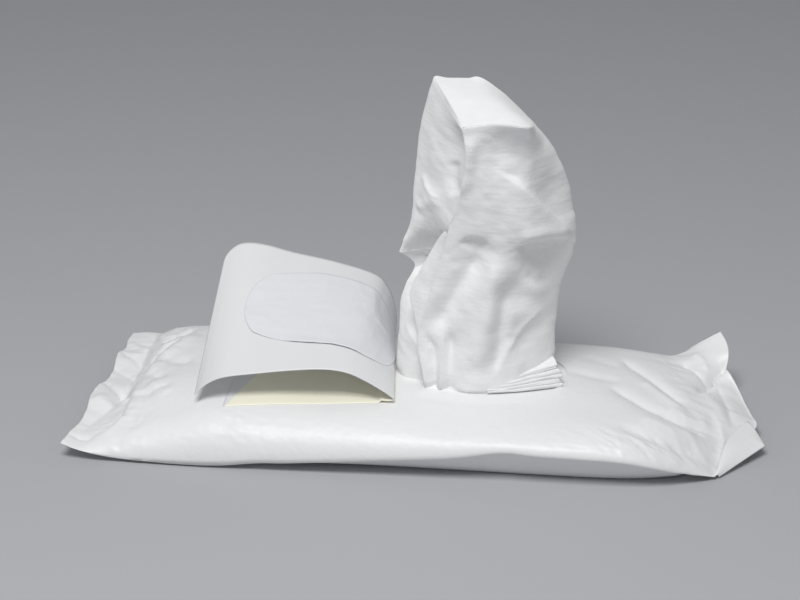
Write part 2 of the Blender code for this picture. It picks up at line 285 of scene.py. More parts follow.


# %% [markdown]
# ### Creases of the pouch
#
# Film does not wrinkle evenly.  Slack runs out of the filled body towards the corners
# as long straight folds, the film buckles where the stack ends, and the tight front
# shoulder breaks into small bright facets.  Each of these is placed one by one.

# %% Creases of the pouch
# (path in x and y, width, depth, kind)
TOP_CREASES = [
    # The stack's left end, where the film drops to the seal in a zigzag.
    ([(-92, 24), (-96.3, 18.4), (-100.8, 10.5), (-102.4, 3.4), (-104, -3.5), (-108, -12)], 3.0, -2.2, "soft"),
    ([(-90, 27), (-95.6, 18.4), (-100.0, 10.5), (-101.6, 3.4), (-103, -3.5), (-107, -12)], 6.0, 2.4, "left"),
    ([(-107.5, -11), (-102.4, -20.5), (-103, -32.6), (-107, -39), (-113, -43.5)], 5.0, 1.2, "left"),
    ([(-102, 4.6), (-94.6, 2.8), (-84, -2.9)], 2.6, -1.2, "soft"),
    ([(-103, -21), (-96, -21.6), (-88, -18)], 2.0, -1.1, "sharp"),
    ([(-104, -6), (-98, -8), (-92, -13)], 1.8, -1.2, "sharp"),
    ([(-98, -15), (-92, -20), (-88, -26)], 2.4, 0.7, "soft"),
    ([(-103, 24), (-98, 27), (-91, 33)], 2.2, -1.6, "sharp"),
    ([(-106, 34), (-101, 36), (-95, 38)], 1.6, -0.9, "sharp"),
    # Waves that run from the left seal into the body.
    ([(-119, 2), (-110.2, -8.9), (-102.9, -20.6)], 1.5, -1.8, "sharp"),
    ([(-119, -13.6), (-109.2, -20.5), (-104, -24)], 3.2, 1.3, "soft"),
    ([(-119, 26.5), (-112, 21), (-103.2, 8.6)], 1.6, -1.5, "sharp"),
    ([(-119, 14), (-112, 8), (-105, 2)], 1.4, -0.9, "sharp"),
    ([(-119, 35), (-110, 30), (-104, 27)], 2.0, 0.9, "soft"),
    ([(-121, -41), (-116.3, -42), (-111, -43)], 1.0, -0.8, "sharp"),
    # Long folds from the mouth to the right front corner.
    ([(49.4, 6.2), (58.6, 2.6), (70, 1.0)], 2.6, -0.6, "soft"),
    ([(54, 20), (62, 16), (69, 13)], 3.0, -0.35, "soft"),
    ([(68, 23), (72, 17.6), (80.4, 7.6), (87.6, -1.1), (92.5, -9)], 1.9, -1.9, "sharp"),
    ([(76, 6), (85, -5), (93, -13)], 2.4, 0.8, "soft"),
    ([(64, -3), (69, -6.7), (78.1, -15.4), (86, -18.6), (95, -17), (104, -15)], 2.6, -2.0, "sharp"),
    ([(83, -16), (91.9, -19.3), (100, -19.8)], 1.3, -1.1, "sharp"),
    ([(86, -12), (94, -14), (102, -11)], 1.4, 0.7, "sharp"),
    ([(76, -25), (88, -26), (98, -23)], 3.5, 0.7, "soft"),
    ([(68, -33.5), (81.6, -35.6), (91.2, -33.8), (99.5, -28)], 2.8, -1.2, "soft"),
    # The dog-ear's root, and the folds of the right seal.
    ([(108, 33.5), (104.5, 28), (101, 21), (96.3, 8)], 1.7, -4.0, "sharp"),
    ([(90, 30), (97.3, 22), (100, 18)], 1.4, -1.5, "sharp"),
    ([(94, 36), (98, 31), (100, 26)], 1.8, 1.0, "sharp"),
    ([(103, 22), (107, 6), (109, -8)], 1.6, -0.9, "sharp"),
    ([(99, 12), (104, 0), (107, -12)], 2.4, 0.6, "soft"),
    ([(104, -6), (106, -16), (104.5, -28)], 1.4, 0.8, "sharp"),
    # Slack beside the mouth and under the label's right end.
    ([(-4, -22), (8, -24), (24, -25), (40, -22)], 3.0, -0.35, "soft"),
    ([(10, 24), (30, 27), (48, 25)], 4.0, -0.5, "soft"),
    ([(-60, -36), (-30, -38), (0, -38)], 5.0, 0.2, "soft"),
]


def top_height(x, y, low, v, to_left, to_right, right_x):
    """Height of the top film: crease height, plus a crown, plus every crease.

    The crown is (1 - |v|^n)^0.5 across, fuller in front (n = 5) than behind (n = 3.2).
    To the right it sinks with the square of the way to the seal.  To the left it holds
    its height and then drops, more gently along the front.
    """
    n = np.where(v < 0, 5.0, 3.2)
    section = np.sqrt(np.clip(1 - np.abs(v) ** n, 0, 1))
    front = ease((-v - 0.25) / 0.5)
    right = 1 - np.clip((x - 50) / (right_x - 51), 0, 1) ** 2.1
    left = (1 - np.clip((-x - 56) / (52 + 8 * front), 0, 1) ** (4 - 1.8 * front)) ** (0.7 + 0.4 * front)
    crown = section * right * left * (1 - to_left * (1 - front))
    z = low + (TOP - 0.15 - low) * crown
    for path, width, depth, kind in TOP_CREASES:
        z = z + crease(x, y, path, width, depth, kind)
    z = z + 0.30 * value_noise(x / 17, y / 13, 3) * section
    # The tight front face: small facets, busiest towards the right.
    face = ease((-v - 0.66) / 0.16) * ease((1 + v) / 0.05) * ease((102 - x) / 8) * ease((x + 112) / 10)
    busy = 0.16 + 0.62 * np.exp(-((x - 78) / 17) ** 2) + 0.40 * np.exp(-((x + 62) / 10) ** 2)
    z = z + face * busy * 0.62 * crumple(x / 3.6 + 0.4 * y, y / 2.3, 11)
    # Both ends carry a finer crumple.
    ends = ease((-x - 86) / 12) + 0.55 * ease((x - 74) / 18)
    z = z + ends * 0.55 * crumple(x / 6.5 + 0.05 * y, y / 5.5, 21) * (1 - 0.5 * (to_left + to_right))
    return z


def bottom_height(low, v):
    """Height of the underside: on the table, then up to the creases in the last fifth."""
    lift = np.clip((np.abs(v) - 0.79) / 0.21, 0, 1) ** 1.25
    return low * lift


# %% [markdown]
# ### The pouch's mesh
#
# Both films are read off the same stations and share their border, so the pouch is one
# closed skin with a slot cut through its top.  Stations crowd towards the edges, where
# the film turns fastest.  The points nearest the slot move onto its exact outline.

# %% The pouch's mesh
ALONG, ACROSS = 320, 150
FILM = 0.15
MOUTH_CENTRE = np.array([19.8, 0.8])
MOUTH_HALF = 30.5
MOUTH_RADIUS = 18.5


def spread_to_edges(count, power):
    """Stations from -1 to 1 that crowd towards both ends."""
    t = np.linspace(-1, 1, count)
    return np.sign(t) * (1 - (1 - np.abs(t)) ** power)


def film_points(u, v):
    """Top and bottom film over the same u, v grid, sharing their border."""
    gu, gv = np.meshgrid(u, v, indexing="ij")
    x, y, low, to_left, to_right, right_x = outline(gu, gv)
    top = top_height(x, y, low, gv, to_left, to_right, right_x)
    ends = np.clip(to_left + to_right, 0, 1)
    under = bottom_height(low, gv) * (1 - ends) + (top - 0.25) * ends
    under = np.maximum(np.minimum(under, top - FILM), 0)
    top = np.maximum(top, under + FILM)
    border = np.zeros(gu.shape, bool)
    border[[0, -1], :] = border[:, [0, -1]] = True
    under = np.where(border, top, under)
    return np.stack([x, y, top], -1), np.stack([x, y, under], -1)


def mouth_reach(points):
    """Signed distance in plan from the mouth's edge, a slot with round ends, and its course."""
    run = MOUTH_HALF - MOUTH_RADIUS
    near = np.clip(points[..., 0] - MOUTH_CENTRE[0], -run, run) + MOUTH_CENTRE[0]
    out = np.stack([points[..., 0] - near, points[..., 1] - MOUTH_CENTRE[1]], -1)
    return np.linalg.norm(out, axis=-1) - MOUTH_RADIUS, out


def make_pouch():
    """The film skin, with the mouth left out of its top and the rim drawn exactly."""
    u = spread_to_edges(ALONG, 1.15)
    v = spread_to_edges(ACROSS, 1.35)
    top, under = film_points(u, v)
    rows, cols = top.shape[:2]
    reach, out = mouth_reach(top)
    corners = np.stack([reach[:-1, :-1], reach[1:, :-1], reach[1:, 1:], reach[:-1, 1:]])
    keep = corners.mean(0) > 0
    # Points on the rim of the hole move out or in to the exact edge.
    used = np.zeros(reach.shape, bool)
    open_side = np.zeros(reach.shape, bool)
    for i, j in ((0, 0), (1, 0), (1, 1), (0, 1)):
        window = (slice(i, rows - 1 + i), slice(j, cols - 1 + j))
        used[window] |= keep
        open_side[window] |= ~keep
    rim = used & open_side
    unit = out / np.linalg.norm(out, axis=-1, keepdims=True)
    top[..., :2] = np.where(rim[..., None], top[..., :2] - unit * reach[..., None], top[..., :2])
    count = rows * cols
    index = np.arange(count).reshape(rows, cols)
    under_index = index + count
    border = np.zeros((rows, cols), bool)
    border[[0, -1], :] = border[:, [0, -1]] = True
    under_index = np.where(border, index, under_index)
    quads = grid_quads(rows, cols)
    faces_top = quads[keep.ravel()]
    faces_under = under_index.ravel()[quads][:, [0, 3, 2, 1]]
    points = np.concatenate([top.reshape(-1, 3), under.reshape(-1, 3)])
    piece = add_piece("pouch_film_skin", points, np.concatenate([faces_top, faces_under]))
    drop_loose_points(piece)
    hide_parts("film_pouch")
    return piece


def drop_loose_points(piece):
    """Removes the points that no face uses."""
    shape = bmesh.new()
    shape.from_mesh(piece.data)
    bmesh.ops.delete(shape, geom=[p for p in shape.verts if not p.link_faces], context="VERTS")
    shape.to_mesh(piece.data)
    shape.free()


pouch = make_pouch()


# %% [markdown]
# ### The film as something to lie on
#
# The stack, the label and the wipes all rest on or under the top film, so its height is
# read into a table once.  The pouch is drawn over stations that bend with its outline:
# a few rounds of correction find the station that lands on each even grid point.

# %% The film's height anywhere
CORRECTIONS = 6


class FilmTable:
    """The top film's height on an even plan grid, for laying other pieces on it."""

    def __init__(self):
        self.step = 1.0
        self.x = np.arange(-100, 90, self.step)
        self.y = np.arange(-44, 44, self.step)
        gx, gy = np.meshgrid(self.x, self.y, indexing="ij")
        front_y, _ = along_curve(FRONT_CREASE, gx)
        back_y, _ = along_curve(BACK_CREASE, gx)
        v = 2 * (gy - front_y) / (back_y - front_y) - 1
        u = gx / HALF
        for _ in range(CORRECTIONS):
            x = outline(u, v)[0]
            u = np.clip(u + (gx - x) / HALF, -1, 1)
        _, _, low, to_left, to_right, right_x = outline(u, v)
        self.z = top_height(gx, gy, low, v, to_left, to_right, right_x)

    def __call__(self, x, y):
        fx = np.clip((x - self.x[0]) / self.step, 0, len(self.x) - 1.001)
        fy = np.clip((y - self.y[0]) / self.step, 0, len(self.y) - 1.001)
        i, j = fx.astype(int), fy.astype(int)
        fx, fy = fx - i, fy - j
        near = self.z[i, j] * (1 - fy) + self.z[i, j + 1] * fy
        far = self.z[i + 1, j] * (1 - fy) + self.z[i + 1, j + 1] * fy
        return near * (1 - fx) + far * fx


film_table = FilmTable()
mouth_front = film_table(np.array([20.0]), np.array([-18.0]))
print("film height at the mouth's front edge:", mouth_front.round(2))


# %% [markdown]
# ### The folded-over seal corner
#
# At the front right the corner of the sealed end is turned over onto the pouch.  It is
# the same film, but folded on itself, so it is laid on as its own small sheet whose
# edge runs out past the seal.

# %% The folded-over seal corner
SEAL_FOLD_ROOT = [
    (103.4, -34.4, 1.5), (104.8, -28, 4.4), (106.6, -20, 6.8), (110.0, -9, 7.0), (114.2, -1.2, 6.6)]
SEAL_FOLD_TIP = [
    (104.6, -33.6, 0.8), (109.6, -27.6, 1.9), (114.4, -21.8, 2.9), (120.2, -14.6, 4.0), (117.6, -8.2, 5.4)]
SEAL_FOLD_STEPS = 10


def make_seal_fold():
    """A ruled surface: straight lines from the fold's root to its outer edge."""
    root = smooth_curve(SEAL_FOLD_ROOT, SEAL_FOLD_STEPS)
    corners = np.array(SEAL_FOLD_TIP)
    at = np.linspace(0, len(corners) - 1, len(root))
    tip = np.stack([np.interp(at, np.arange(len(corners)), corners[:, k]) for k in range(3)], -1)
    across = np.linspace(0, 1, 24)[None, :, None]
    points = root[:, None] * (1 - across) + tip[:, None] * across
    points[..., 2] += np.sin(np.pi * across[..., 0]) * 0.5
    piece = add_piece("seal_corner_fold", points, grid_quads(*points.shape[:2]))
    thicken(piece, 0.25)
    return piece


seal_fold = make_seal_fold()


# %% [markdown]
# ## The stack inside
#
# The wipes inside are one soft block.  Only a sliver shows through the mouth, so it is
# a crowned block that stops a little short of the film.

# %% The stack inside
STACK_BELOW_FILM = 0.8
STACK_RISE_IN_MOUTH = 0.45
RIM_RUN = 2.0
STACK_FLOOR = 1.0


def make_stack():
    """A block whose top keeps below the film, and comes up closer to it in the mouth."""
    u = np.linspace(-0.70, 0.62, 180)
    v = np.linspace(-0.80, 0.80, 110)
    gu, gv = np.meshgrid(u, v, indexing="ij")
    x, y = outline(gu, gv)[:2]
    in_mouth = ease((RIM_RUN - mouth_reach(np.stack([x, y], -1))[0]) / RIM_RUN)
    top = film_table(x, y) - STACK_BELOW_FILM + STACK_RISE_IN_MOUTH * in_mouth
    floor = np.full(x.shape, STACK_FLOOR)
    count = x.size
    rows, cols = x.shape
    index = np.arange(count).reshape(rows, cols)
    border = np.concatenate([index[0, :], index[1:, -1], index[-1, -2::-1], index[-2:0:-1, 0]])
    after = np.roll(border, -1)
    sides = np.stack([border, after, after + count, border + count], -1)
    upper = grid_quads(rows, cols)
    faces = np.concatenate([upper, upper[:, ::-1] + count, sides])
    points = np.concatenate([np.stack([x, y, top], -1).reshape(-1, 3),
                             np.stack([x, y, floor], -1).reshape(-1, 3)])
    piece = add_piece("folded_stack", points, faces)
    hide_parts("wipe_stack")
    return piece


stack = make_stack()


# %% [markdown]
# ## The label
#
# The label is one springy sheet.  Its left part is still stuck down, then it turns up
# and back over itself in an arch, with its free end curling down to the pouch.  Because
# it was peeled at a slant it rises much higher at the back.  A bent sheet like this is
# a ruled surface, so only its two long edges are drawn and straight lines join them.

# %% The label
LABEL_FRONT, LABEL_BACK = -29.0, 34.5
LABEL_LEFT = -66.5
LABEL_SLANT = 0.12
LABEL_WIDTH = 64.0
LABEL_COLUMNS = 65
LABEL_ABOVE_FILM = 0.12
UV_SPAN = 200.0      # the map's unit square is this many mm across
# The free part's long edges as (x, height), from the peel line to the free end.
FRONT_EDGE = [
    (-12, 20.1), (-9.4, 20.2), (-7.6, 20.7), (-8.6, 21.9), (-12.4, 24.6), (-18.1, 28.0),
    (-24.0, 30.6), (-31.8, 31.6), (-43.2, 30.8), (-54.8, 29.3), (-64.8, 27.8), (-69.8, 26.2),
    (-74.0, 23.4), (-76.6, 20.6)]
BACK_EDGE = [
    (-20, 18.9), (-17, 19.2), (-15.2, 21.0), (-15, 25.5), (-15.9, 31.0), (-18.0, 36.8),
    (-22.5, 41.9), (-36, 46.6), (-52, 50.4), (-61, 53.0), (-67, 54.0), (-72, 53.6), (-76.4, 52.2)]
BACK_LEAN, FRONT_LEAN = 9.0, 5.0
CORNER_RADIUS = 6.5
FREE_ROWS = 170


def even_steps(points, count):
    """A smooth curve through the points, read at even steps of its own length."""
    curve = smooth_curve(points, 24)
    length = np.concatenate([[0], np.cumsum(np.linalg.norm(np.diff(curve, axis=0), axis=1))])
    at = np.linspace(0, length[-1], count)
    return np.stack([np.interp(at, length, curve[:, k]) for k in range(curve.shape[1])], -1)


def label_grid(trim=True):
    """The label's mid-surface, its own flat coordinates in mm, and where it comes free.

    Straight rulings join the front and the back edge; the stuck run follows the film.
    """
    share = np.linspace(0, 1, LABEL_COLUMNS)[None, :]
    front = even_steps(FRONT_EDGE, FREE_ROWS)
    back = even_steps(BACK_EDGE, FREE_ROWS)
    hinge_x = front[0, 0] + (back[0, 0] - front[0, 0]) * share
    y0 = LABEL_FRONT + (LABEL_BACK - LABEL_FRONT) * share
    run = np.linspace(0, 1, 61)[:-1, None]
    stuck_x = LABEL_LEFT + (hinge_x - LABEL_LEFT) * run
    stuck_y = y0 - LABEL_SLANT * (hinge_x - stuck_x)
    stuck = np.stack([stuck_x, stuck_y, film_table(stuck_x, stuck_y) + LABEL_ABOVE_FILM], -1)
    along = np.linspace(0, 1, len(front))[:, None]
    x = front[:, :1] * (1 - share) + back[:, :1] * share
    lean = FRONT_LEAN * (1 - share) + BACK_LEAN * share
    y = y0 - lean * along
    z = front[:, 1:] * (1 - share) + back[:, 1:] * share
    z = np.maximum(z, film_table(x, y) + LABEL_ABOVE_FILM)
    free = np.stack([x, y, z], -1)
    if trim:
        free = round_corner(free)
    grid = np.concatenate([stuck, free])
    steps = np.linalg.norm(np.diff(grid[:, LABEL_COLUMNS // 2], axis=0), axis=1)
    path = np.concatenate([[0], np.cumsum(steps)])
    uv = np.stack(np.broadcast_arrays(path[:, None], share * LABEL_WIDTH), -1)
    return grid, uv, len(stuck)


def round_corner(free):
    """Draws the free end's back corner in to a quarter circle."""
    middle = free[:, free.shape[1] // 2]
    steps = np.linalg.norm(np.diff(middle[::-1], axis=0), axis=1)
    left = np.concatenate([[0], np.cumsum(steps)])[::-1]
    short = np.clip(CORNER_RADIUS - left, 0, CORNER_RADIUS)
    cut = (CORNER_RADIUS - np.sqrt(CORNER_RADIUS**2 - short**2)) / LABEL_WIDTH
    columns = free.shape[1]
    at = np.linspace(0, 1, columns)[None, :] * (1 - cut[:, None]) * (columns - 1)
    low = np.minimum(at.astype(int), columns - 2)
    part = (at - low)[..., None]
    rows = np.arange(len(free))[:, None]
    return free[rows, low] * (1 - part) + free[rows, low + 1] * part


def make_label():
    """The label in one sheet, from its stuck end to its free end."""
    grid, uv, _ = label_grid()
    piece = add_piece("label_film_sheet", grid, grid_quads(*grid.shape[:2]), uv / UV_SPAN)
    thicken(piece, 0.2)
    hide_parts("resealable_label")
    return piece


label = make_label()


# %% [markdown]
# ### The film that came away with the label
#
# The mouth is die-cut, and its lid stays on the glue: a slot-shaped piece of film on
# the label's sticky side.  It is thinner than the label and lies in shallow wrinkles.
# Its lower edge has let go of the glue and stands proud by about a millimetre.

# %% The film that came away with the label
def unit_normals(grid):
    """Unit normals of a grid, upwards where the label is folded back."""
    normal = np.cross(np.gradient(grid, axis=1), np.gradient(grid, axis=0))
    return normal / np.linalg.norm(normal, axis=-1, keepdims=True)


def read_grid(grid, r, c):
    """Bilinear reading of a grid at fractional rows and columns."""
    r0 = np.clip(r.astype(int), 0, grid.shape[0] - 2)
    c0 = np.clip(c.astype(int), 0, grid.shape[1] - 2)
    fr, fc = (r - r0)[..., None], (c - c0)[..., None]
    near = grid[r0, c0] * (1 - fc) + grid[r0, c0 + 1] * fc
    far = grid[r0 + 1, c0] * (1 - fc) + grid[r0 + 1, c0 + 1] * fc
    return near * (1 - fr) + far * fr


FLAP_ROWS, FLAP_COLUMNS = 150, 90
STUCK_LIFT = 0.17


def make_flap():
    """A disc mapped from a square, stretched into a slot on the label's own grid.

    Square p, q maps to the disc (p sqrt(1 - q^2/2), q sqrt(1 - p^2/2)).  Its front edge
    is cut a little wider towards the hinge, and there and along it the film has let go.
    """
    grid, _, start = label_grid(trim=False)
    free = grid[start:]
    normal = unit_normals(free)
    p, q = np.meshgrid(np.linspace(-1, 1, FLAP_ROWS), np.linspace(-1, 1, FLAP_COLUMNS), indexing="ij")
    disc_p = p * np.sqrt(1 - q**2 / 2)
    disc_q = q * np.sqrt(1 - p**2 / 2)
    length = len(free) - 1
    row = (0.455 + 0.150 * p + 0.235 * disc_p) * length
    col = (0.550 + (0.318 + 0.060 * ease(-1.2 * p) * (q < 0)) * disc_q) * (LABEL_COLUMNS - 1)
    lift = 0.26 + 0.20 * value_noise(p * 3.1, q * 2.2, 5) + 0.22 * crumple(p * 3.4, q * 2.2, 7)
    lift = lift + 0.50 * crease(p, q, [(-0.75, -1.0), (-0.1, -1.06), (0.55, -0.98)], 0.16, 1.0)
    lift = np.maximum(lift, STUCK_LIFT)
    points = read_grid(free, row, col) + read_grid(normal, row, col) * lift[..., None]
    piece = add_piece("die_cut_film", points, grid_quads(FLAP_ROWS, FLAP_COLUMNS))
    thicken(piece, 0.12)
    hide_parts("film_flap")
    return piece


flap = make_flap()


# %% [markdown]
# ## The pulled wipe
#
# A damp wipe keeps the folds it was packed with.  Pulled up by its middle it stands as
# a hood: a front panel, a turn round the right side, a back panel, and a left edge that
# comes round to the front again low down.  Its top is folded forward in a crisp strip.
#
# The form is a net of sections from the mouth to the top fold.  Every section lists ten
# points: from the front panel's left edge, round the right side and the back, to the
# edge that tucks in behind the front panel low down and joins it higher up.

# %% The pulled wipe's sections
WIPE_NET = [
    [(2.0, -13.4, 17.6), (20, -16.0, 17.6), (33, -12.0, 17.6), (44.0, 1, 17.6), (36, 10, 17.6),
     (17, 12, 17.6), (-2, 10, 17.6), (-9.4, 3.5, 17.6), (-7.0, -5.5, 17.6), (4, -10, 17.6)],
    [(1.0, -14.2, 22), (19, -17.2, 22), (33, -12.6, 22), (45.2, 1.5, 22), (37, 10, 22),
     (17, 12, 22), (-3, 10, 22), (-10.3, 3.5, 22), (-8.0, -5, 23), (4, -11, 22)],
    [(-1.2, -13.8, 31), (16, -16.0, 31), (32, -12.5, 31), (45.2, 2, 31), (37, 10, 31),
     (16, 12, 31), (-3, 10, 31), (-9.6, 4, 30), (-7.0, -4.0, 30), (3, -10.5, 31)],
    [(-1.4, -13.2, 39), (14, -15.5, 40), (31, -13, 41), (45.4, 2.5, 41), (37, 10, 41),
     (16, 11.5, 41), (-3, 10, 41), (-9.6, 5.0, 41), (-6.0, 1.0, 41), (3, -9.0, 41)],
    [(1.8, -12.8, 50.5), (15, -14.8, 51), (32, -13, 52), (46.6, 3, 53), (37, 10, 52),
     (16, 11, 51), (-2, 10.5, 51), (-7.6, 6, 50), (-3.0, 5.0, 50.5), (6, -6, 50.5)],
    [(4.2, -12.2, 60), (18, -14.2, 60.5), (34, -13, 61.5), (50.0, 3, 63), (38, 10, 61),
     (16, 10.5, 59), (0, 11, 57), (-5.2, 9.5, 55.7), (-0.6, 11, 57.6), (8, -3, 60)],
    [(5.6, -12.0, 65), (19, -14, 66), (35.5, -13, 67.5), (51.4, 3, 69), (39, 10, 67),
     (17, 10.5, 65), (0, 10, 63), (-9.5, 4.6, 62.2), (-1.0, 8.0, 62.4), (9, -2, 66)],
    [(6.6, -11.8, 67.6), (20, -14, 69), (36, -13, 70), (51.6, 3, 71), (39, 10, 69),
     (17, 10.5, 67), (0, 10, 65), (-9.5, 4.6, 63.0), (-0.8, 7.4, 63.8), (9, -2.6, 68)],
    [(9.0, -11.2, 78), (22, -14, 79), (38, -13.4, 80), (50.8, 3, 79), (38, 10, 79),
     (17, 10.5, 78), (0, 9.5, 77), (-5.6, 5, 76.4), (2.2, -2.0, 78.4), (9.0, -11.2, 78)],
    [(11.6, -10.6, 86), (23, -12.6, 88), (37, -11.4, 89.5), (49.0, 3, 88), (37, 9.5, 88),
     (17, 10.5, 88), (1, 10.5, 88), (-5.0, 8.0, 87), (2.6, 1, 87), (11.6, -10.6, 86)],
    [(13.6, -9.8, 96), (24, -10.6, 97), (37.4, -8.6, 98.5), (46.6, 2, 97), (36, 9.5, 98),
     (17, 10.5, 99), (1, 11, 99), (-4.2, 9.5, 98.6), (4.0, 1.4, 98), (13.6, -9.8, 96)],
    [(13.9, -8.0, 105), (24.5, -7.6, 106), (36.6, -6.0, 106.5), (41.6, 1.5, 106), (33, 9.5, 108),
     (15, 11, 110), (1.6, 11.5, 110), (-3.0, 10.5, 109.5), (4.8, 3.0, 107), (13.9, -8.0, 105)],
    [(12.2, -5.0, 112.0), (24.5, -5.0, 113.8), (35.6, -4.8, 113.2), (32.6, 1.2, 116.4), (18.5, 9.6, 124.8),
     (12.5, 10.0, 124.9), (6, 10.4, 124.6), (1.0, 10.6, 124.4), (6.6, 2.8, 118.2), (12.2, -5.0, 112.0)],
]
# How far the front of each section leans out towards the viewer, and how much further
# the top fold overhangs it at the first three columns.
WIPE_LEAN = [0, 0, 0, 0, 0.5, 0.8, 1.2, 1.6, 2.7, 5.0, 7.8, 11.3, 13.9]
TOP_OVERHANG = [0, 2.4, 3.4]

# %% [markdown]
# ### Hollows and ridges of the pulled wipe
#
# Fingers have squeezed the wipe, and it holds their dents.  Each is placed on the front
# or the left of the hood by its x and its height, and pushes the cloth in or out.

# %% Hollows and ridges of the pulled wipe
# Front panel, pushed towards the viewer where positive: (centre, radii, turn, depth).
FRONT_DENTS = [
    ((31, 106), (9.0, 8.0), -8, -1.6), ((44, 95), (5, 8), 25, -1.6),
    ((43.0, 67.0), (11, 7.5), 10, -4.2),
    ((18.4, 69.0), (5.6, 5.6), 8, -3.0), ((32.5, 54.5), (6.0, 5.4), 0, -3.2),
    ((36, 39), (5.5, 10), -35, -1.6), ((40, 58), (4, 3.2), 20, 1.2), ((9, 34), (5, 6), 0, -1.2)]
# (path, width, depth, kind)
FRONT_CREASES = [
    ([(25, 99.4), (33.9, 94.2), (38.3, 90.8), (42.6, 86.9), (51.5, 79.2)], 6.0, -1.7, "left"),
    ([(27.4, 96), (33.9, 92.5), (42.6, 85), (52, 78)], 3.0, 0.5, "soft"),
    ([(31, 71), (36.4, 73.6), (43.2, 75.5), (52, 77.6)], 6.0, -2.2, "right"),
    ([(32, 75), (42, 78), (52, 80)], 2.4, 1.5, "soft"),
    ([(12, 72.4), (15, 74.6), (19, 74.8), (23, 72.4)], 5.0, -1.8, "right"),
    ([(19.5, 69), (15.5, 61), (11.5, 55), (7, 46), (3.6, 38)], 3.8, -3.2, "soft"),
    ([(23.5, 71), (25, 59), (23.5, 50), (20.5, 37), (18, 24)], 4.0, 2.6, "soft"),
    ([(27.6, 62), (27.4, 50), (27.0, 37), (26.4, 22)], 2.8, -1.5, "soft"),
    ([(25.4, 22), (30, 33.6), (36, 43.6), (43, 52)], 1.6, 1.2, "sharp"),
    ([(0.4, 40), (3.4, 33), (4.6, 26), (4.6, 8)], 1.4, -1.8, "soft"),
    ([(7.0, 40), (6.9, 30), (6.2, 22), (5.9, 8)], 1.0, 1.6, "soft"),
    ([(9.0, 42), (9.6, 32), (9.8, 22), (9.8, 8)], 1.9, -1.5, "soft"),
    ([(0.2, 32), (1.0, 26), (1.6, 8)], 0.9, 0.9, "soft"),
    ([(16, 112), (16, 107), (15.6, 103), (14.4, 96), (13, 90)], 2.4, 1.0, "soft"),
    ([(37, 62), (41, 60), (46, 61)], 1.4, -0.9, "soft")]
# Left face and inside of the back panel, pushed out to the left and front.
LEFT_DENTS = [
    ((10.6, 102), (3.4, 5.5), 0, -2.8), ((1.6, 84), (3.2, 4.5), 30, 1.6), ((3, 98), (2.6, 9), 8, 1.2),
    ((-5, 30), (4, 4), 0, 1.4), ((-6, 42), (3.0, 6), 10, 0.8), ((5, 74), (6, 5), 20, -0.6)]
LEFT_CREASES = [
    ([(-1.6, 92.5), (0.8, 87.4), (5, 82)], 1.2, 1.2, "sharp"),
    ([(-4, 79.4), (0, 80.8), (5, 82)], 2.0, 1.0, "soft"),
    ([(8.4, 97), (8.4, 90), (8.8, 83)], 1.6, -1.6, "soft"),
    ([(-4, 52), (-5.2, 46), (-3.4, 38)], 1.2, -0.8, "sharp"),
    ([(-8, 36), (-4, 31), (-1, 24)], 1.2, 0.8, "sharp")]


def relief(grid, plane, dents, creases):
    """Sum of every dent and crease, placed on an upright plane at y = plane.

    They are carried from the plane to the cloth along the line of sight, so that a
    crease keeps its course where the cloth curves back from the plane.
    """
    away = grid[..., 1] - plane
    x = grid[..., 0] + away * np.tan(VIEW_TURN)
    z = grid[..., 2] + away * np.tan(VIEW_RISE)
    total = np.zeros(x.shape)
    for centre, radii, turn, depth in dents:
        total += dent(x, z, centre, radii, turn, depth)
    for path, width, depth, kind in creases:
        total += crease(x, z, path, width, depth, kind)
    return total


def lean_forward(net):
    """Carries the front and the left-front fold along the line of sight by WIPE_LEAN."""
    net = np.array(net, float)
    lean = np.array(WIPE_LEAN)[:, None] * np.array([1, 1, 1, 0, 0, 0, 0, 0, 0.43, 1])
    lean[-1, :3] += TOP_OVERHANG
    sight = EYE - net
    return net - sight * (lean / sight[..., 1])[..., None]


def refine(net, rows, cols):
    """Smooths a net of control points both ways, to rows and cols steps a stretch."""
    net = smooth_curve(np.array(net, float), rows)
    return smooth_curve(net.transpose(1, 0, 2), cols).transpose(1, 0, 2)


def wipe_grid():
    """The hood with its relief, laid in along the surface's own normals."""
    grid = refine(lean_forward(WIPE_NET), 21, 20)
    rows, cols = grid.shape[:2]
    normal = np.cross(np.gradient(grid, axis=0), np.gradient(grid, axis=1))
    normal /= np.maximum(np.linalg.norm(normal, axis=-1, keepdims=True), 1e-9)
    x, z = grid[..., 0], grid[..., 2]
    column = np.linspace(0, 9, cols)[None, :]
    height = np.linspace(0, 1, rows)[:, None]
    settle = ease(height / 0.04) * ease((1 - height) / 0.045)
    front = ease((3.1 - column) / 0.6) * settle
    left = ease((column - 5.6) / 0.8) * settle
    push = front * relief(grid, -12, FRONT_DENTS, FRONT_CREASES)
    push = push + left * relief(grid, 3, LEFT_DENTS, LEFT_CREASES)
    soft = 0.30 * value_noise(x / 7 + column, z / 6, 31) + 0.14 * value_noise(x / 2.8, z / 2.4 + column, 33)
    push = push + soft * settle
    if normal[rows // 2, cols // 6, 1] > 0:
        normal = -normal
    return grid + normal * push[..., None]


# The layer that comes round from the back and shows left of the front panel:
# its left and right edges as (x, y, height), from the bottom up.
RETURN_LEFT = [
    (-1.2, -11.5, 37.5), (-2.2, -10.2, 41), (-3.4, -8.6, 45), (-4.8, -7.4, 50), (-4.4, -6.8, 53.6),
    (-2.2, -6.6, 58.4), (0.8, -6.8, 64.4), (3.2, -7.2, 69), (5.6, -8, 73.6), (8.6, -9.6, 77.6)]
RETURN_RIGHT = [
    (2.0, -11.6, 37), (2.6, -11.4, 41), (3.6, -11.0, 45), (4.8, -10.8, 50), (6.0, -10.8, 53.6),
    (7.4, -10.6, 58.4), (8.6, -10.4, 64), (9.6, -10.2, 68.6), (10.4, -10.0, 73.2), (11.0, -9.8, 77)]


